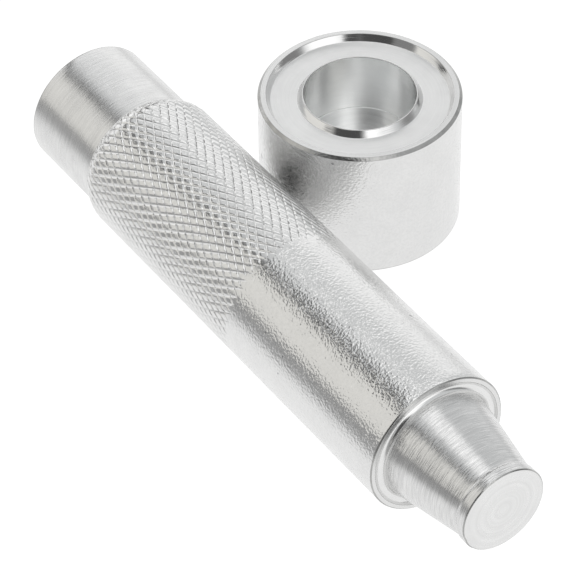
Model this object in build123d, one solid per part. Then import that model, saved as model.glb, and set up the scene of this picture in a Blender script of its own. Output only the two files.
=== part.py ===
from build123d import *
import math
import os

# A two-piece hand setter for eyelets and hollow rivets: a punch that is struck with a mallet, and the
# base anvil that it works against. Each piece is turned from one steel bar and zinc plated.
#
# Frame, in millimetres: the origin is the centre of the anvil's underside, +Z runs up the anvil's axis,
# and +X runs along the punch, which lies beside the anvil on the same surface with its nose towards +X.

# Base anvil, along Z from its underside.
ANVIL_DIAMETER = 30.0
ANVIL_HEIGHT = 22.0
ANVIL_EDGE_BREAK = 0.4
RECESS_MOUTH_DIAMETER = 27.5
RECESS_FLOOR_DIAMETER = 26.3
RECESS_DEPTH = 1.05
BOSS_FOOT_DIAMETER = 18.4
BOSS_LIP_DIAMETER = 17.0
BOSS_BELOW_RIM = 0.1
BORE_DIAMETER = 16.6
BORE_DEPTH = 9.6

# Setter punch, along its own axis from the struck face.
STRUCK_END_DIAMETER = 20.0
STRUCK_END_LENGTH = 15.7
STRUCK_EDGE_BREAK = 0.4
GRIP_DIAMETER = 22.0
GRIP_LENGTH = 38.7
GRIP_SHOULDER_LENGTH = 2.5
BODY_DIAMETER = 22.0
BODY_LENGTH = 34.3
RIM_EDGE_BREAK = 0.3
GROOVE_OUTER_DIAMETER = 20.5
GROOVE_DEPTH = 0.85
NOSE_ROOT_DIAMETER = 17.5
NOSE_NECK_DIAMETER = 12.9
NOSE_TAPER_LENGTH = 13.2
NOSE_LAND_DIAMETER = 13.4
NOSE_LAND_RISE = 0.4
NOSE_LENGTH = 15.1
NOSE_EDGE_BREAK = 0.3

# How the punch lies beside the anvil.
PUNCH_START_X = -32.5
GAP_TO_ANVIL = 0.95


def turned(outline):
    """The solid that a closed outline in the XZ plane sweeps round the Z axis."""
    return revolve(make_face(outline), Axis.Z, 360)


def base_anvil():
    """A round block with a dished top: a flat rim, a shallow recess, and a ring boss round a blind bore."""
    radius = ANVIL_DIAMETER / 2
    recess_floor = ANVIL_HEIGHT - RECESS_DEPTH
    lip = ANVIL_HEIGHT - BOSS_BELOW_RIM
    bore_floor = lip - BORE_DEPTH
    corners = [
        (0, 0),
        (radius - ANVIL_EDGE_BREAK, 0),
        (radius, ANVIL_EDGE_BREAK),
        (radius, ANVIL_HEIGHT - ANVIL_EDGE_BREAK),
        (radius - ANVIL_EDGE_BREAK, ANVIL_HEIGHT),
        (RECESS_MOUTH_DIAMETER / 2, ANVIL_HEIGHT),
        (RECESS_FLOOR_DIAMETER / 2, recess_floor),
        (BOSS_FOOT_DIAMETER / 2, recess_floor),
        (BOSS_LIP_DIAMETER / 2, lip),
        (BORE_DIAMETER / 2, lip),
        (BORE_DIAMETER / 2, bore_floor),
        (0, bore_floor),
    ]
    outline = Polyline([(r, 0, z) for r, z in corners], close=True)
    return turned(outline)


def shoulder_arc(start, end_radius, length):
    """The convex quarter-like arc that swells from start to end_radius and ends parallel to the axis."""
    start_radius, start_z = start
    rise = end_radius - start_radius
    arc_radius = (rise**2 + length**2) / (2 * rise)
    half_turn = math.asin(length / arc_radius) / 2
    middle = (
        end_radius - arc_radius * (1 - math.cos(half_turn)),
        0,
        start_z + length - arc_radius * math.sin(half_turn),
    )
    return ThreePointArc((start_radius, 0, start_z), middle, (end_radius, 0, start_z + length))


def setter_punch():
    """The punch standing on its struck face: struck end, knurled grip, plain body, curling groove, nose."""
    struck = STRUCK_END_DIAMETER / 2
    grip = GRIP_DIAMETER / 2
    body = BODY_DIAMETER / 2
    groove_outer = GROOVE_OUTER_DIAMETER / 2
    nose_root = NOSE_ROOT_DIAMETER / 2
    nose_neck = NOSE_NECK_DIAMETER / 2
    nose_land = NOSE_LAND_DIAMETER / 2

    grip_start = STRUCK_END_LENGTH
    grip_end = grip_start + GRIP_LENGTH
    rim = grip_end + BODY_LENGTH
    neck = rim + NOSE_TAPER_LENGTH
    tip = rim + NOSE_LENGTH

    struck_side = Polyline(
        (0, 0, 0),
        (struck - STRUCK_EDGE_BREAK, 0, 0),
        (struck, 0, STRUCK_EDGE_BREAK),
        (struck, 0, grip_start),
    )
    shoulder = shoulder_arc((struck, grip_start), grip, GRIP_SHOULDER_LENGTH)
    body_side = Polyline(
        (grip, 0, grip_start + GRIP_SHOULDER_LENGTH),
        (grip, 0, grip_end),
        (body, 0, rim - RIM_EDGE_BREAK),
        (body - RIM_EDGE_BREAK, 0, rim),
        (groove_outer, 0, rim),
    )
    curling_groove = ThreePointArc(
        (groove_outer, 0, rim),
        ((groove_outer + nose_root) / 2, 0, rim - GROOVE_DEPTH),
        (nose_root, 0, rim),
    )
    nose_side = Polyline(
        (nose_root, 0, rim),
        (nose_neck, 0, neck),
        (nose_land, 0, neck + NOSE_LAND_RISE),
        (nose_land, 0, tip - NOSE_EDGE_BREAK),
        (nose_land - NOSE_EDGE_BREAK, 0, tip),
        (0, 0, tip),
        (0, 0, 0),
    )
    return turned(struck_side + shoulder + body_side + curling_groove + nose_side)


def laid_beside_anvil(punch):
    """The upright punch laid on its side, clear of the anvil, resting on the plane of the anvil's underside."""
    widest = max(GRIP_DIAMETER, BODY_DIAMETER) / 2
    beside = -(ANVIL_DIAMETER / 2 + GAP_TO_ANVIL + widest)
    return Pos(PUNCH_START_X, beside, widest) * Rot(0, 90, 0) * punch


nodes = {
    "base_anvil": base_anvil(),
    "setter_punch": laid_beside_anvil(setter_punch()),
}

os.makedirs("parts", exist_ok=True)
for name, solid in nodes.items():
    export_step(solid, f"parts/{name}.step")
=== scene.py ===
import math

import bpy
import numpy as np
from mathutils import Matrix, Vector


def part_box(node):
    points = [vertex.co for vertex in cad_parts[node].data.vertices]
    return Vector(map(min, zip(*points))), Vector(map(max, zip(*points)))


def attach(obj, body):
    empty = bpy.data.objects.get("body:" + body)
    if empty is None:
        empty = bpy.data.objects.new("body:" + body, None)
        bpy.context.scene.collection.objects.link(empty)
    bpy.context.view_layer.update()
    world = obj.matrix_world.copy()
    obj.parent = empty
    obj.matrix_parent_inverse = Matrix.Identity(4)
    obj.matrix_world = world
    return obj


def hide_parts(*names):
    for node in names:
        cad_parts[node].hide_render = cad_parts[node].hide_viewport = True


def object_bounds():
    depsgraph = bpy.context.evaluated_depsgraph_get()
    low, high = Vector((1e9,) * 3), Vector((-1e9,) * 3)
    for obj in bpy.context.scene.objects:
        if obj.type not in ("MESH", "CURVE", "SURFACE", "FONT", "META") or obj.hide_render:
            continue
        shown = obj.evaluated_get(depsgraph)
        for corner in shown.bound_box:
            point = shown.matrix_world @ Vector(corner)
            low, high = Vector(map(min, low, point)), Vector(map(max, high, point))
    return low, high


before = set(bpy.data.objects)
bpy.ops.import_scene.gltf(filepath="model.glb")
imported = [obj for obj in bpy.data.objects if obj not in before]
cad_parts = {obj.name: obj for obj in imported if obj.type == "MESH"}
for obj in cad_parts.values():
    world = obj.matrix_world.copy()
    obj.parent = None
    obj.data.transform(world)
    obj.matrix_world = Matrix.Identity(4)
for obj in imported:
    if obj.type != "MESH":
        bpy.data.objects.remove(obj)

# A rivet setter of two turned and zinc plated steel pieces. Each piece is one closed turned mesh that
# takes its place from its CAD node. Lengths are in millimetres in the shapes, and in metres in the
# materials and the studio.
MM = 0.001
CAD_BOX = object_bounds()

# Setter punch: stations along its axis from the struck face, and radii.
STRUCK_RADIUS = 10.0
STRUCK_LENGTH = 15.7
STRUCK_DISH = 0.06
GRIP_RADIUS = 11.0
GRIP_END = 54.4
SHOULDER_LENGTH = 2.5
SHOULDER_ARC = 3.625
RIM_PLANE = 88.7
RIM_LAND_RADIUS = 10.25
RIM_BREAK = 0.16
GROOVE_RADIUS = 0.78
NOSE_ROOT_RADIUS = 8.75
NOSE_NECK = 101.9
NOSE_NECK_RADIUS = 6.45
NOSE_TAPER = math.atan((NOSE_ROOT_RADIUS - NOSE_NECK_RADIUS) / (NOSE_NECK - RIM_PLANE))
NOSE_LAND_RADIUS = 6.7
NOSE_END = 103.8
GROOVE_START = 0.1
FACE_DISH = 0.03
# Each dent on the nose's end edge: where it is round the axis in radians, its width there, and its depth.
NOSE_DENTS = [(1.9, 0.10, 0.10), (2.35, 0.05, 0.05), (4.4, 0.05, 0.04), (0.3, 0.04, 0.03)]
# Diamond knurl. The two lists are its heights 0 to 4 cells from the middle of a groove. It begins and
# ends unevenly, and the rest says how much.
KNURL_STARTS = 50
KNURL_ANGLE = math.radians(30)
KNURL_CELLS = 8
KNURL_MAIN = [-0.125, -0.045, 0.0, 0.0, 0.0]
KNURL_CROSS = [-0.085, -0.012, 0.0, 0.0, 0.0]
# How much the grooves' colour darkens with depth: dirt and painted shade.
KNURL_DIRT_AND_SHADE = 0.15
KNURL_FADE = 1.3
KNURL_FADE_SPREAD = 0.35
KNURL_FADE_WAVE = 0.12
KNURL_FADE_WAVES = 30
KNURL_DEPTH_WAVE = 0.02
KNURL_DEPTH_WAVES = 3
KNURL_ROUGH = 0.002
KNURL_ROUGH_MOST = 0.008
KNURL_INSET = 0.004
KNURL_START_SPREAD = 0.12
KNURL_START_LIFT = 0.05
KNURL_SEGMENTS = KNURL_STARTS * KNURL_CELLS
PLAIN_SEGMENTS = KNURL_SEGMENTS // 2
KNURL_LEAD = 2 * math.pi * GRIP_RADIUS / KNURL_STARTS / math.tan(KNURL_ANGLE)
# Base anvil: heights above the bench, and radii.
ANVIL_RADIUS = 15.0
ANVIL_HEIGHT = 22.0
ANVIL_BREAK = 0.42
RIM_INNER_RADIUS = 13.75
RECESS_FLOOR = 20.95
RECESS_RADIUS = 13.15
BOSS_FOOT_RADIUS = 9.2
BOSS_TOP = 21.9
LIP_RADIUS = 8.5
BORE_RADIUS = 8.3
BORE_FLOOR = 12.3
BORE_FLOOR_DISH = 0.04
UNDERSIDE_DISH = 0.05
ANVIL_SEGMENTS = 288
# Unevenness of the turned surfaces, and the most waves round one ring.
RING_WAVES = 9
NOSE_WAVES = 7
UNEVEN_STRUCK_END = 0.0005
UNEVEN_SKIN = 0.0012
UNEVEN_GROOVE = 0.002
UNEVEN_ANVIL_EDGE = 0.004
UNEVEN_PUNCH_EDGE = 0.006
TOOL_MARK = 0.003
# Mesh: steps in each rounded corner and in the groove, how near a corner the next row is, the least
# radius of a ring, and the rows' spacing in each zone.
ARC_STEPS = 5
GROOVE_STEPS = 20
SUPPORT = 0.06
LEAST_RADIUS = 0.1
PUNCH_SPACING = {
    "struck": 1.2, "body": 1.6, "nose": 0.28, "face": 0.35, "edge": 0.5, "groove": 0.2, "rim": 0.2,
}
ANVIL_SPACING = {
    "side": 0.9, "recess": 0.5, "bore": 0.35, "floor": 0.5, "under": 0.8, "edge": 0.3, "bevel": 0.3,
    "rim": 0.3,
}
# Seeds: SEED for the random draws, and the others for the waviness of each run of rings.
SEED = 11
PUNCH_SEED = SEED + 100
NOSE_SEED = SEED + 500
ANVIL_SEED = SEED + 900


# ---------------------------------------------------------------------------------------------------
# Turned shapes
# ---------------------------------------------------------------------------------------------------

def rounded(corners):
    """Turns the corners of a section, each (along, radius, rounding, zone of what follows), into rows
    (along, radius, zone). A positive rounding is a worn edge, a negative one a blend in the same zone."""
    rows = []
    for i, (along, radius, rounding, zone) in enumerate(corners):
        point = np.array([along, radius], float)
        if rounding == 0:
            rows.append((along, radius, zone))
            continue
        back = np.array(corners[i - 1][:2], float) - point
        ahead = np.array(corners[i + 1][:2], float) - point
        back /= np.linalg.norm(back)
        ahead /= np.linalg.norm(ahead)
        worn = "edge" if rounding > 0 else zone
        rounding = abs(rounding)
        half = math.acos(float(np.clip(back @ ahead, -1, 1))) / 2
        reach = rounding / math.tan(half)
        centre = point + (back + ahead) / np.linalg.norm(back + ahead) * rounding / math.sin(half)
        first = point + back * reach - centre
        last = point + ahead * reach - centre
        sweep = math.pi - 2 * half
        for k in range(ARC_STEPS + 1):
            part = k / ARC_STEPS
            swung = math.sin((1 - part) * sweep) * first + math.sin(part * sweep) * last
            spot = centre + swung / math.sin(sweep)
            rows.append((spot[0], spot[1], zone if k == ARC_STEPS else worn))
    return rows


def filled(rows, spacing):
    """Adds rows along each straight run: one close to each end, and the rest evenly spaced for its zone."""
    out = []
    for (a0, r0, zone), (a1, r1, _) in zip(rows, rows[1:]):
        out.append((a0, r0, zone))
        length = math.hypot(a1 - a0, r1 - r0)
        if length < 4 * SUPPORT:
            continue
        inner = [SUPPORT / length]
        count = max(1, int(round((length - 2 * SUPPORT) / spacing[zone])))
        inner += [(SUPPORT + (length - 2 * SUPPORT) * k / count) / length for k in range(1, count)]
        inner += [1 - SUPPORT / length]
        out += [(a0 + (a1 - a0) * t, r0 + (r1 - r0) * t, zone) for t in inner]
    out.append(rows[-1])
    return out


def groove_rows():
    """The curling groove: one arc that drops from the rim and runs out along the nose's own taper."""
    lean = np.array([math.sin(NOSE_TAPER), math.cos(NOSE_TAPER)])
    foot = np.array([RIM_PLANE, NOSE_ROOT_RADIUS]) + GROOVE_START * np.array([lean[1], -lean[0]])
    centre = foot + GROOVE_RADIUS * lean
    first = math.acos((RIM_PLANE - GROOVE_START - centre[0]) / GROOVE_RADIUS)
    last = math.pi + math.atan2(lean[1], lean[0])
    rows = []
    for k in range(GROOVE_STEPS + 1):
        turn = first + (last - first) * k / GROOVE_STEPS
        along = centre[0] + GROOVE_RADIUS * math.cos(turn)
        radius = centre[1] + GROOVE_RADIUS * math.sin(turn)
        rows.append((along, radius, "groove"))
    return rows


def circle(segments):
    """The angles of a ring's vertices."""
    return np.arange(segments) * 2 * math.pi / segments


def wave(angles, seed, waves, amount):
    """A smooth seeded waviness round the circle, of up to so many waves, one value for each angle."""
    rng = np.random.default_rng(seed)
    total = np.zeros_like(angles)
    for k in range(1, waves + 1):
        total += rng.normal() * np.cos(k * angles + rng.uniform(0, 2 * math.pi)) / math.sqrt(waves)
    return amount * total


class Turned:
    """Collects rings of vertices and the faces between them, and makes them into one closed mesh. Each
    zone of a section is a material, and faces take the zone of the ring that they start from."""

    def __init__(self, place):
        self.place = place
        self.verts = []
        self.faces = []
        self.zones = []
        self.count = 0
        self.last = None

    def ring(self, along, radii, zone, split=None):
        """Adds a ring. split says which quads behind it are cut along the rising diagonal."""
        segments = len(radii)
        self.verts.append(self.place(np.broadcast_to(along, segments), radii, circle(segments)))
        ids = self.count + np.arange(segments)
        self.count += segments
        if self.last is not None:
            old, old_zone = self.last
            self.join(old, ids, old_zone, split)
        self.last = (ids, zone)

    def join(self, old, new, zone, split):
        if len(old) == len(new):
            old_next = np.roll(old, -1)
            new_next = np.roll(new, -1)
            if split is None:
                made = np.stack([old, old_next, new_next, new], 1).tolist()
            else:
                pick = split[:, None]
                rising = np.stack([old, old_next, new_next], 1)
                falling = np.stack([old, old_next, new], 1)
                made = np.where(pick, rising, falling).tolist()
                rising = np.stack([old, new_next, new], 1)
                falling = np.stack([old_next, new_next, new], 1)
                made += np.where(pick, rising, falling).tolist()
        elif len(old) == 2 * len(new):
            made = self.halve(old, new, False)
        else:
            made = self.halve(new, old, True)
        self.faces += made
        self.zones += [zone] * len(made)

    def halve(self, fine, coarse, flip):
        """Triangles between a ring and one of half its segments."""
        f0 = fine[0::2]
        f1 = fine[1::2]
        f2 = np.roll(f0, -1)
        c0 = coarse
        c1 = np.roll(coarse, -1)
        corners = (f0, f1, c0), (f1, f2, c1), (f1, c1, c0)
        made = np.concatenate([np.stack(three, 1) for three in corners])
        return (made[:, ::-1] if flip else made).tolist()

    def pole(self, along, zone, closing):
        """Adds a point on the axis, which closes the mesh or waits for open_fan."""
        self.verts.append(self.place(np.array([along]), np.array([0.0]), np.array([0.0])))
        tip = self.count
        self.count += 1
        if closing:
            ids = self.last[0]
            self.faces += np.stack([ids, np.roll(ids, -1), np.full(len(ids), tip)], 1).tolist()
            self.zones += [self.last[1]] * len(ids)
        else:
            self.tip = (tip, zone)

    def open_fan(self):
        """Joins the waiting point to the first ring."""
        tip, zone = self.tip
        ids = self.last[0]
        self.faces += np.stack([np.roll(ids, -1), ids, np.full(len(ids), tip)], 1).tolist()
        self.zones += [zone] * len(ids)

    def mesh(self, name, materials):
        mesh = bpy.data.meshes.new(name)
        mesh.from_pydata((np.concatenate(self.verts) * MM).tolist(), [], self.faces)
        order = list(materials)
        for zone in order:
            mesh.materials.append(materials[zone])
        mesh.polygons.foreach_set("material_index", [order.index(z) for z in self.zones])
        mesh.polygons.foreach_set("use_smooth", [z != "knurl" for z in self.zones])
        mesh.update()
        obj = bpy.data.objects.new(name, mesh)
        bpy.context.scene.collection.objects.link(obj)
        return obj


def knurl_height(turn_cells, row):
    """Depth below the crest where two crossing families of grooves meet, on the knurl's own grid, and
    which faces below this row are cut along the rising diagonal, so that every groove is a clean line."""
    half = KNURL_CELLS // 2

    def from_groove(cells):
        return np.abs((cells + half) % KNURL_CELLS - half)

    main = np.array(KNURL_MAIN)[from_groove(turn_cells + row)]
    cross = np.array(KNURL_CROSS)[from_groove(turn_cells - row)]
    rising = from_groove(turn_cells - row + 1) < from_groove(turn_cells + row)
    return np.minimum(main, cross), rising


def grip_radius(along):
    """The grip's crest radius. Its shoulder is an arc that runs out of the full diameter."""
    short = max(0.0, STRUCK_LENGTH + SHOULDER_LENGTH - along)
    return GRIP_RADIUS - SHOULDER_ARC + math.sqrt(max(SHOULDER_ARC ** 2 - short ** 2, 0))


def nose_dents(angles):
    """How deep the dents in the nose's end edge are at each angle."""
    total = np.zeros_like(angles)
    for centre, width, depth in NOSE_DENTS:
        gap = (angles - centre + math.pi) % (2 * math.pi) - math.pi
        total += depth * np.exp(-(gap / width) ** 2)
    return total


def punch_shape(materials):
    low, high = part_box("setter_punch")
    start = low.x / MM
    axis_y = (low.y + high.y) / 2 / MM
    axis_z = (low.z + high.z) / 2 / MM

    def place(along, radii, angles):
        return np.stack([start + along, axis_y - radii * np.sin(angles), axis_z + radii * np.cos(angles)], 1)

    shape = Turned(place)
    rng = np.random.default_rng(SEED)
    plain = circle(PLAIN_SEGMENTS)

    def rings(rows, uneven):
        for i, (along, radius, zone) in enumerate(rows):
            ripple = wave(plain, PUNCH_SEED + i, RING_WAVES, uneven(along, radius))
            shape.ring(along, radius + ripple, zone)

    # Struck face, its worn edge, and the plain struck end.
    head = filled(rounded([
        (STRUCK_DISH, 0.0, 0, "face"),
        (0.0, STRUCK_RADIUS - 0.45, 0.25, "edge"),
        (0.42, STRUCK_RADIUS, 0.25, "struck"),
        (STRUCK_LENGTH - 0.1, STRUCK_RADIUS, 0, "struck"),
    ]), PUNCH_SPACING)
    shape.pole(STRUCK_DISH, "face", False)
    head = [row for row in head if row[1] > LEAST_RADIUS]
    along, radius, zone = head[0]
    shape.ring(along, np.full(PLAIN_SEGMENTS, radius), zone)
    shape.open_fan()
    rings(head[1:], lambda a, r: UNEVEN_PUNCH_EDGE if a < 0.6 and r > 9 else UNEVEN_STRUCK_END)

    # Knurled grip. Every groove follows the grid's own diagonals, so its bottom is a clean line.
    step = KNURL_LEAD / KNURL_CELLS
    turn_cells = np.arange(KNURL_SEGMENTS)
    fine = circle(KNURL_SEGMENTS)
    ragged = KNURL_START_SPREAD * rng.random(KNURL_SEGMENTS)
    fade_at = GRIP_END - KNURL_FADE_SPREAD * rng.random(KNURL_SEGMENTS)
    fade_at = fade_at - wave(fine, SEED, KNURL_FADE_WAVES, KNURL_FADE_WAVE)
    rows = int((GRIP_END - STRUCK_LENGTH) / step)
    for j in range(rows + 1):
        along = STRUCK_LENGTH + j * step
        height, split = knurl_height(turn_cells, j)
        depth = 1 + wave(fine, SEED + 7 * j, KNURL_DEPTH_WAVES, KNURL_DEPTH_WAVE)
        fade = np.clip((fade_at - along) / KNURL_FADE, 0, 1)
        height = np.minimum(height * depth + KNURL_MAIN[0] * (fade - 1), 0)
        rough = rng.normal(0, KNURL_ROUGH, KNURL_SEGMENTS) * (0.3 + fade)
        radii = grip_radius(along) + height + np.minimum(rough, KNURL_ROUGH_MOST) - KNURL_INSET
        if j == 0:
            radii = np.maximum(radii + ragged + KNURL_START_LIFT, STRUCK_RADIUS)
        zone = "knurl" if j < rows else "body"
        shape.ring(along, radii, zone, split if j > 0 else None)

    # Plain body, rim with its edge break, and the curling groove.
    body = filled(rounded([
        (GRIP_END + 0.06, GRIP_RADIUS, 0, "body"),
        (RIM_PLANE - RIM_BREAK, GRIP_RADIUS, 0.07, "edge"),
        (RIM_PLANE, GRIP_RADIUS - RIM_BREAK, 0.06, "rim"),
        (RIM_PLANE, RIM_LAND_RADIUS, 0.05, "rim"),
        (RIM_PLANE - GROOVE_START, RIM_LAND_RADIUS - 0.05, 0, "groove"),
    ]), PUNCH_SPACING)
    rings(body[:-1], lambda a, r: UNEVEN_SKIN if a < RIM_PLANE - 0.5 else UNEVEN_PUNCH_EDGE)
    groove = groove_rows()
    rings(groove, lambda a, r: UNEVEN_GROOVE)

    # Tapered nose with its tool marks, its short end land, the dents in its end edge, and its face.
    foot_along, foot_radius, _ = groove[-1]
    nose = filled(rounded([
        (foot_along + 0.15, foot_radius - 0.15 * math.tan(NOSE_TAPER), 0, "nose"),
        (NOSE_NECK, NOSE_NECK_RADIUS, -0.85, "nose"),
        (NOSE_NECK + 0.4, NOSE_LAND_RADIUS, -0.25, "nose"),
        (NOSE_END - 0.14, NOSE_LAND_RADIUS, 0.06, "edge"),
        (NOSE_END, NOSE_LAND_RADIUS - 0.14, 0.06, "face"),
        (NOSE_END - FACE_DISH, 0.0, 0, "face"),
    ]), PUNCH_SPACING)
    nose = [row for row in nose if row[1] > LEAST_RADIUS]
    for i, (along, radius, zone) in enumerate(nose):
        ripple = wave(plain, NOSE_SEED + i, NOSE_WAVES, UNEVEN_SKIN)
        if zone == "nose" and RIM_PLANE + 0.5 < along < NOSE_END - 1:
            ripple = ripple + rng.normal(0, TOOL_MARK)
        if along > NOSE_END - 0.6 and radius > NOSE_LAND_RADIUS - 0.8:
            ripple = ripple - nose_dents(plain)
        shape.ring(along, radius + ripple, zone)
    shape.pole(NOSE_END - FACE_DISH, "face", True)
    return shape.mesh("punch_turned", materials)


def anvil_shape(materials):
    low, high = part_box("base_anvil")
    centre_x = (low.x + high.x) / 2 / MM
    centre_y = (low.y + high.y) / 2 / MM
    base_z = low.z / MM

    def place(along, radii, angles):
        across_x = centre_x + radii * np.cos(angles)
        across_y = centre_y + radii * np.sin(angles)
        return np.stack([across_x, across_y, base_z + along], 1)

    shape = Turned(place)
    section = filled(rounded([
        (UNDERSIDE_DISH, 0.0, 0, "under"),
        (0.0, ANVIL_RADIUS - 0.45, 0.2, "edge"),
        (ANVIL_BREAK, ANVIL_RADIUS, 0.2, "side"),
        (ANVIL_HEIGHT - ANVIL_BREAK, ANVIL_RADIUS, 0.08, "edge"),
        (ANVIL_HEIGHT, ANVIL_RADIUS - ANVIL_BREAK, 0.06, "rim"),
        (ANVIL_HEIGHT, RIM_INNER_RADIUS, 0.06, "bevel"),
        (RECESS_FLOOR, RECESS_RADIUS, -0.12, "recess"),
        (RECESS_FLOOR, BOSS_FOOT_RADIUS, -0.12, "bevel"),
        (BOSS_TOP, LIP_RADIUS, 0.06, "rim"),
        (BOSS_TOP, BORE_RADIUS, 0.06, "bore"),
        (BORE_FLOOR, BORE_RADIUS, -0.15, "floor"),
        (BORE_FLOOR - BORE_FLOOR_DISH, 0.0, 0, "floor"),
    ]), ANVIL_SPACING)
    section = [row for row in section if row[1] > LEAST_RADIUS]
    angles = circle(ANVIL_SEGMENTS)
    shape.pole(UNDERSIDE_DISH, "under", False)
    for i, (along, radius, zone) in enumerate(section):
        uneven = UNEVEN_ANVIL_EDGE if zone in ("edge", "bevel", "rim") else UNEVEN_SKIN
        ripple = wave(angles, ANVIL_SEED + i // 3, RING_WAVES, uneven)
        shape.ring(along, radius + ripple, zone)
        if i == 0:
            shape.open_fan()
    shape.pole(BORE_FLOOR - BORE_FLOOR_DISH, "floor", True)
    return shape.mesh("anvil_turned", materials)


# ---------------------------------------------------------------------------------------------------
# Materials
# ---------------------------------------------------------------------------------------------------

# How much slower the turning marks change along themselves than across, on a side and on a face.
MARK_ASPECT = 0.06
FACE_ASPECT = 0.02
# Textures common to every zone, per metre, and the pits' size, darkness and height.
CLOUD_SCALE = 260.0
FINE_SCALE = 2400.0
PIT_SCALE = 420.0
PIT_SIZE = 0.55
PIT_DARKNESS = 0.7
PIT_HEIGHT = -1.5e-5
# Depths in millimetres in the knurl at which the dirt and painted shade in its grooves begin and are full.
DIRT_AND_SHADE_FROM = 0.06
DIRT_AND_SHADE_FULL = 0.13
# Tints, and the share of a tint that its stained shade keeps; the painted shade in the knurl's grooves
# darkens towards the same colour.
ZINC = (0.765, 0.765, 0.76)
BRIGHT_ZINC = (0.81, 0.81, 0.805)
EDGE_ZINC = (0.50, 0.50, 0.49)
BORE_ZINC_PAINTED_LIGHT = (0.95, 0.955, 0.95)
# A lighter copy of the zinc for the bore and its floor: painted light.
RECESS_ZINC = (0.83, 0.83, 0.825)
STAIN_AND_SHADE = (0.45, 0.45, 0.46)
# Bar skin and turning marks, each (per metre, height in metres).
SKIN = [(2700.0, 7.0e-5), (5200.0, 1.2e-5)]
STRUCK_GRAIN = [(3600.0, 0.8e-5)]
KNURL_GRAIN = [(4200.0, 0.3e-5)]
EDGE_GRAIN = [(3000.0, 3.0e-5)]
RECESS_GRAIN = [(2600.0, 0.5e-5)]
FINE_MARKS = [(6000.0, 1.2e-5), (1800.0, 0.8e-5)]
NOSE_MARKS = [(5000.0, 5.5e-5), (1600.0, 3.5e-5)]
STRUCK_MARKS = [(4200.0, 2.4e-5), (1500.0, 1.2e-5)]
FACE_MARKS = [(1250.0, 4.5e-5)]


def add(tree, kind, settings=None, inputs=None):
    """A new node. An input is a number or colour, or another node's socket to link it to."""
    node = tree.nodes.new(kind)
    for key, value in (settings or {}).items():
        setattr(node, key, value)
    for key, value in (inputs or {}).items():
        if isinstance(value, bpy.types.NodeSocket):
            tree.links.new(value, node.inputs[key])
        else:
            node.inputs[key].default_value = value
    return node


def maths(tree, operation, a, b=0.0):
    return add(tree, "ShaderNodeMath", {"operation": operation}, {0: a, 1: b}).outputs[0]


def remap(tree, value, low, high, to_low=0.0, to_high=1.0, smooth=True):
    kind = "SMOOTHSTEP" if smooth else "LINEAR"
    inputs = {"Value": value, "From Min": low, "From Max": high, "To Min": to_low, "To Max": to_high}
    return add(tree, "ShaderNodeMapRange", {"interpolation_type": kind}, inputs).outputs[0]


def noise(tree, vector, scale, detail, rough):
    inputs = {"Vector": vector, "Scale": scale, "Detail": detail, "Roughness": rough}
    return add(tree, "ShaderNodeTexNoise", None, inputs).outputs["Fac"]


def scaled(tree, vector, factors):
    return add(tree, "ShaderNodeVectorMath", {"operation": "MULTIPLY"}, {0: vector, 1: factors}).outputs[0]


def mixed(tree, factor, first, second):
    inputs = {"Factor": factor, "A": first, "B": second}
    return add(tree, "ShaderNodeMix", {"data_type": "RGBA"}, inputs).outputs["Result"]


def centred(tree, origin):
    """Object coordinates in metres, measured from a point on the piece's own axis."""
    where = add(tree, "ShaderNodeTexCoord").outputs["Object"]
    return add(tree, "ShaderNodeVectorMath", {"operation": "SUBTRACT"}, {0: where, 1: origin}).outputs[0]


def off_axis(tree, vector, axis):
    """Distance from the piece's axis."""
    flat = [1.0, 1.0, 1.0]
    flat[axis] = 0.0
    across = scaled(tree, vector, flat)
    return add(tree, "ShaderNodeVectorMath", {"operation": "LENGTH"}, {0: across}).outputs["Value"]


def ringed(tree, vector, axis, faced):
    """Coordinates that change quickly across the turning marks and slowly along them."""
    if not faced:
        factors = [MARK_ASPECT, MARK_ASPECT, MARK_ASPECT]
        factors[axis] = 1.0
        return scaled(tree, vector, factors)
    slow = scaled(tree, vector, [FACE_ASPECT, FACE_ASPECT, FACE_ASPECT])
    parts = dict(enumerate(add(tree, "ShaderNodeSeparateXYZ", None, {0: slow}).outputs))
    parts[axis] = off_axis(tree, vector, axis)
    return add(tree, "ShaderNodeCombineXYZ", None, parts).outputs[0]


def knurl_depth(tree, vector):
    """Depth in metres below the grip's own crest, whose shoulder is an arc."""
    along = add(tree, "ShaderNodeSeparateXYZ", None, {0: vector}).outputs["X"]
    shoulder_end = (STRUCK_LENGTH + SHOULDER_LENGTH) * MM
    short = maths(tree, "MAXIMUM", maths(tree, "SUBTRACT", shoulder_end, along), 0.0)
    under = maths(tree, "SUBTRACT", (SHOULDER_ARC * MM) ** 2, maths(tree, "MULTIPLY", short, short))
    crest = maths(tree, "ADD", maths(tree, "SQRT", under), (GRIP_RADIUS - SHOULDER_ARC) * MM)
    return maths(tree, "SUBTRACT", crest, off_axis(tree, vector, 0))


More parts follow.
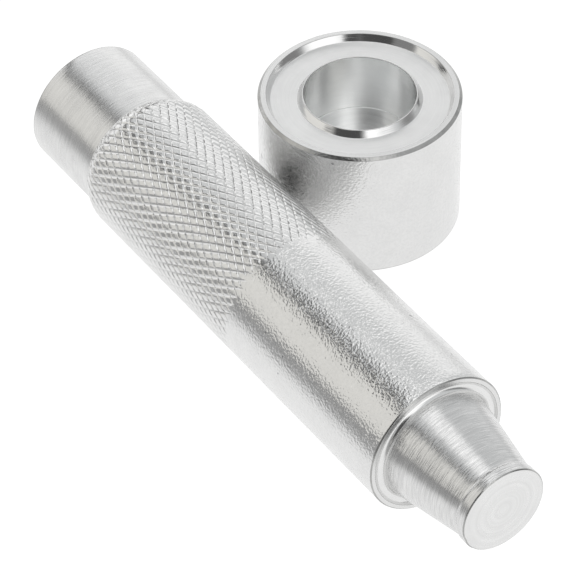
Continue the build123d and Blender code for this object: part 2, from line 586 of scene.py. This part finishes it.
def steel(name, origin, axis, tint, gloss, marks=None, grain=None, faced=False, patches=0.05, pits=0.0,
          contrast=0.08, grooves=0.0):
    """Zinc plated steel. gloss is its least and most roughness. marks are the turning marks, each (per
    metre, height in metres), and grain is the same for the skin of the bar. faced marks are rings on a
    flat face. patches, contrast and grooves are how much dull patches, fine shade, and dirt with painted
    shade deep in the knurl's grooves darken it, and pits is the share of Voronoi cells that have a pit."""
    material = bpy.data.materials.new(name)
    material.use_nodes = True
    tree = material.node_tree
    shader = tree.nodes["Principled BSDF"]
    shader.inputs["Metallic"].default_value = 1.0
    vector = centred(tree, origin)
    cloud = noise(tree, vector, CLOUD_SCALE, 3.0, 0.6)
    fine = noise(tree, vector, FINE_SCALE, 2.0, 0.6)

    # Bump.
    streak = fine
    heights = []
    if marks:
        rings = ringed(tree, vector, axis, faced)
        streak = noise(tree, rings, marks[0][0], 3.0, 0.65)
        for per_metre, amount in marks:
            heights.append(maths(tree, "MULTIPLY", noise(tree, rings, per_metre, 2.5, 0.6), amount))
    for per_metre, amount in grain or []:
        heights.append(maths(tree, "MULTIPLY", noise(tree, vector, per_metre, 1.5, 0.5), amount))

    # Colour, from the clean plating down to its stained shade, which the knurl's grooves also reach as
    # painted shade.
    dirt = maths(tree, "MULTIPLY", remap(tree, cloud, 0.35, 0.7), patches)
    shade = maths(tree, "MULTIPLY", remap(tree, streak, 0.3, 0.7), contrast)
    clean = maths(tree, "SUBTRACT", maths(tree, "SUBTRACT", 1.0, dirt), shade)
    if pits:
        cells = add(tree, "ShaderNodeTexVoronoi", None, {"Vector": vector, "Scale": PIT_SCALE})
        chance = add(tree, "ShaderNodeSeparateColor", None, {0: cells.outputs["Color"]}).outputs[0]
        reach = maths(tree, "MULTIPLY", maths(tree, "SUBTRACT", chance, 1.0 - pits), PIT_SIZE)
        hole = maths(tree, "LESS_THAN", cells.outputs["Distance"], reach)
        clean = maths(tree, "SUBTRACT", clean, maths(tree, "MULTIPLY", hole, PIT_DARKNESS))
        heights.append(maths(tree, "MULTIPLY", hole, PIT_HEIGHT))
    # Darker deep in the knurl's grooves: dirt and painted shade.
    if grooves:
        sunk = remap(tree, knurl_depth(tree, vector), DIRT_AND_SHADE_FROM * MM, DIRT_AND_SHADE_FULL * MM)
        clean = maths(tree, "SUBTRACT", clean, maths(tree, "MULTIPLY", sunk, grooves))
    stained_and_shaded = [part * share for part, share in zip(tint, STAIN_AND_SHADE)]
    tree.links.new(mixed(tree, clean, (*stained_and_shaded, 1), (*tint, 1)), shader.inputs["Base Color"])

    blur = maths(tree, "ADD", maths(tree, "MULTIPLY", cloud, 0.6), maths(tree, "MULTIPLY", fine, 0.4))
    tree.links.new(remap(tree, blur, 0.3, 0.7, *gloss, False), shader.inputs["Roughness"])
    height = heights[0]
    for more in heights[1:]:
        height = maths(tree, "ADD", height, more)
    bump = add(tree, "ShaderNodeBump", None, {"Strength": 1.0, "Distance": 1.0, "Height": height})
    tree.links.new(bump.outputs["Normal"], shader.inputs["Normal"])
    return material


punch_low, punch_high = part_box("setter_punch")
PUNCH_ORIGIN = (punch_low.x, (punch_low.y + punch_high.y) / 2, (punch_low.z + punch_high.z) / 2)
ANVIL_ORIGIN = (0.0, 0.0, 0.0)


def punch_steel(name, *look, **more):
    return steel(name, PUNCH_ORIGIN, 0, *look, **more)


def anvil_steel(name, *look, **more):
    return steel(name, ANVIL_ORIGIN, 2, *look, **more)


punch_materials = {
    "struck": punch_steel("zinc_struck_end", ZINC, (0.20, 0.30), STRUCK_MARKS, STRUCK_GRAIN,
                          contrast=0.16, patches=0.10),
    "knurl": punch_steel("zinc_knurl", ZINC, (0.16, 0.24), None, KNURL_GRAIN, grooves=KNURL_DIRT_AND_SHADE),
    "body": punch_steel("zinc_bar_skin", ZINC, (0.07, 0.13), None, SKIN, pits=0.25),
    "edge": punch_steel("zinc_worn_edge", EDGE_ZINC, (0.12, 0.22), None, EDGE_GRAIN, patches=0.5),
    "rim": punch_steel("zinc_rim", ZINC, (0.18, 0.26), FINE_MARKS, faced=True),
    "groove": punch_steel("zinc_groove", BRIGHT_ZINC, (0.12, 0.20), FINE_MARKS, faced=True),
    "nose": punch_steel("zinc_turned_nose", ZINC, (0.16, 0.24), NOSE_MARKS, contrast=0.32),
    "face": punch_steel("zinc_faced_end", BRIGHT_ZINC, (0.24, 0.34), FACE_MARKS, faced=True, contrast=0.16),
}
anvil_materials = {
    "side": anvil_steel("zinc_anvil_skin", ZINC, (0.07, 0.13), None, SKIN, pits=0.40),
    "edge": anvil_steel("zinc_anvil_edge", EDGE_ZINC, (0.10, 0.20), None, EDGE_GRAIN, patches=0.5),
    "bevel": anvil_steel("zinc_anvil_bevel", BRIGHT_ZINC, (0.07, 0.15), FINE_MARKS, faced=True),
    "rim": anvil_steel("zinc_anvil_rim", ZINC, (0.2, 0.28), FINE_MARKS, faced=True),
    "recess": anvil_steel("zinc_recess", RECESS_ZINC, (0.36, 0.46), FINE_MARKS, RECESS_GRAIN, faced=True),
    # The bore and its floor take the lighter zinc: painted light.
    "bore": anvil_steel("zinc_bore", BORE_ZINC_PAINTED_LIGHT, (0.18, 0.28), FINE_MARKS),
    "floor": anvil_steel("zinc_bore_floor", BORE_ZINC_PAINTED_LIGHT, (0.34, 0.44), FACE_MARKS, faced=True, contrast=0.15),
    "under": anvil_steel("zinc_underside", ZINC, (0.3, 0.4), FACE_MARKS, faced=True),
}

punch = punch_shape(punch_materials)
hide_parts("setter_punch")
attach(punch, "punch")

anvil = anvil_shape(anvil_materials)
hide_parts("base_anvil")
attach(anvil, "anvil")


# ---------------------------------------------------------------------------------------------------
# Studio
# ---------------------------------------------------------------------------------------------------

# The floor's glow as reflections see it: FLOOR_GLOW under the object, less in front and behind. The
# distances run from the front of the CAD box.
FLOOR_HALF = 1.5
FLOOR_BELOW = -2e-5
FLOOR_ALBEDO = 0.10
FLOOR_GLOW = 0.94
FRONT_GLOW = 0.32
FRONT_FADE = (-0.058, -0.010)
BEHIND_SHARE = 0.70
BEHIND_FADE = (0.090, 0.135)
# The tent's shades, and the normal of the plane that its gap lies in.
TENT = (0.70, 0.71, 0.715)
WARM_WALL = (0.88, 0.868, 0.835)
SIDE_CARD = (1.12, 1.12, 1.12)
TOP_BOX = (1.32, 1.32, 1.32)
DIM = (0.25, 0.25, 0.25)
DARK = (0.08, 0.08, 0.08)
GAP_NORMAL = (0.428, 0.638, 0.640)


def floor():
    """A pale floor that glows, and is plain white to the camera."""
    mesh = bpy.data.meshes.new("studio_floor")
    corners = [(-1, -1), (1, -1), (1, 1), (-1, 1)]
    verts = [(FLOOR_HALF * x, FLOOR_HALF * y, FLOOR_BELOW) for x, y in corners]
    mesh.from_pydata(verts, [], [(0, 1, 2, 3)])
    obj = bpy.data.objects.new("studio_floor", mesh)
    bpy.context.scene.collection.objects.link(obj)
    material = bpy.data.materials.new("pale_floor")
    material.use_nodes = True
    tree = material.node_tree
    shader = tree.nodes["Principled BSDF"]
    shader.inputs["Base Color"].default_value = (FLOOR_ALBEDO, FLOOR_ALBEDO, FLOOR_ALBEDO, 1)
    shader.inputs["Roughness"].default_value = 1.0
    shader.inputs["Specular IOR Level"].default_value = 0.0
    shader.inputs["Emission Color"].default_value = (1.0, 1.0, 1.0, 1)
    vector = centred(tree, (0.0, CAD_BOX[0].y, 0.0))
    across = add(tree, "ShaderNodeSeparateXYZ", None, {0: vector}).outputs["Y"]
    front = remap(tree, across, *FRONT_FADE, FRONT_GLOW, FLOOR_GLOW)
    behind = remap(tree, across, *BEHIND_FADE, 1.0, BEHIND_SHARE)
    glow = maths(tree, "MULTIPLY", front, behind)
    seen = add(tree, "ShaderNodeLightPath").outputs["Is Camera Ray"]
    tree.links.new(maths(tree, "MAXIMUM", glow, seen), shader.inputs["Emission Strength"])
    mesh.materials.append(material)


def toward(tree, direction, heading):
    """The cosine of the angle between a direction and a heading."""
    inputs = {0: direction, 1: tuple(Vector(heading).normalized())}
    return add(tree, "ShaderNodeVectorMath", {"operation": "DOT_PRODUCT"}, inputs).outputs["Value"]


def cone(tree, direction, heading, inner, outer):
    """1 within inner degrees of a heading, 0 beyond outer degrees."""
    near = math.cos(math.radians(inner))
    far = math.cos(math.radians(outer))
    return remap(tree, toward(tree, direction, heading), far, near)


def band(tree, direction, normal, width, soft):
    """1 on the strip across the great circle with this normal, 0 beyond."""
    away = maths(tree, "ABSOLUTE", toward(tree, direction, normal))
    return remap(tree, away, width + soft, width)


def studio_light():
    """A light tent: cards, boxes and gaps set by direction only, each painted over those before it."""
    world = bpy.data.worlds.new("light_tent")
    world.use_nodes = True
    bpy.context.scene.world = world
    tree = world.node_tree
    direction = add(tree, "ShaderNodeTexCoord").outputs["Generated"]
    colour = (*TENT, 1)

    def layer(mask, shade):
        nonlocal colour
        colour = mixed(tree, mask, colour, (*shade, 1))

    def card(shade, heading, inner, outer):
        layer(cone(tree, direction, heading, inner, outer), shade)

    # The warm wall in front of the gap, the cards to the left and overhead, and the gap, left only.
    wall = maths(tree, "MULTIPLY", toward(tree, direction, GAP_NORMAL), -1.0)
    layer(remap(tree, wall, 0.0, 0.12), WARM_WALL)
    card(SIDE_CARD, (-0.84, 0.52, 0.15), 18, 38)
    card(TOP_BOX, (-0.91, 0.20, 0.36), 13, 30)
    card(SIDE_CARD, (-0.93, -0.22, 0.30), 10, 20)
    card(TOP_BOX, (-0.26, -0.04, 0.965), 10, 20)
    left = remap(tree, toward(tree, direction, (1, 0, 0)), 0.0, -0.22)
    layer(maths(tree, "MULTIPLY", band(tree, direction, GAP_NORMAL, 0.03, 0.10), left), DARK)

    # The boxes and gaps to the right and in front, and the dim strip along the horizon in front.
    card(DIM, (0.62, 0.78, 0.0), 10, 29)
    card(TOP_BOX, (0.72, -0.28, 0.63), 10, 28)
    card(DARK, (0.48, -0.72, 0.50), 17, 31)
    card(TOP_BOX, (0.98, 0.12, 0.13), 12, 29)
    card(DARK, (0.86, -0.42, 0.30), 5, 13)
    card(DIM, (0.04, -0.97, 0.22), 9, 17)
    front = remap(tree, toward(tree, direction, (0, -1, 0)), 0.2, 0.6)
    layer(maths(tree, "MULTIPLY", band(tree, direction, (0, 0, 1), 0.03, 0.07), front), DIM)
    background = tree.nodes["Background"]
    tree.links.new(colour, background.inputs["Color"])
    background.inputs["Strength"].default_value = 1.0


floor()
studio_light()


# ---------------------------------------------------------------------------------------------------
# Camera
# ---------------------------------------------------------------------------------------------------

# Degrees, metres and a lens in millimetres. The aim is off the CAD box's centre, in millimetres.
VIEW_AZIMUTH = 56.083
VIEW_ELEVATION = 42.657
VIEW_ROLL = -0.784
VIEW_DISTANCE = 0.52386
VIEW_LENS = 227.95
VIEW_SENSOR = 36.0
AIM_OFFSET = (-3.956, -12.055, -3.737)


def camera():
    data = bpy.data.cameras.new("view")
    obj = bpy.data.objects.new("view", data)
    bpy.context.scene.collection.objects.link(obj)
    azimuth = math.radians(VIEW_AZIMUTH)
    rise = math.radians(VIEW_ELEVATION)
    back = Vector((math.sin(azimuth) * math.cos(rise), -math.cos(azimuth) * math.cos(rise), math.sin(rise)))
    right = Vector((math.cos(azimuth), math.sin(azimuth), 0.0))
    up = back.cross(right)
    roll = math.radians(VIEW_ROLL)
    right_rolled = right * math.cos(roll) + up * math.sin(roll)
    up_rolled = up * math.cos(roll) - right * math.sin(roll)
    aim = (CAD_BOX[0] + CAD_BOX[1]) / 2 + Vector(AIM_OFFSET) * MM
    turn = Matrix((right_rolled, up_rolled, back)).transposed().to_4x4()
    obj.matrix_world = Matrix.Translation(aim + back * VIEW_DISTANCE) @ turn
    data.sensor_width = VIEW_SENSOR
    data.lens = VIEW_LENS
    data.clip_start = 0.01
    data.clip_end = 10.0
    bpy.context.scene.camera = obj


camera()
bpy.context.scene.view_settings.view_transform = "Standard"
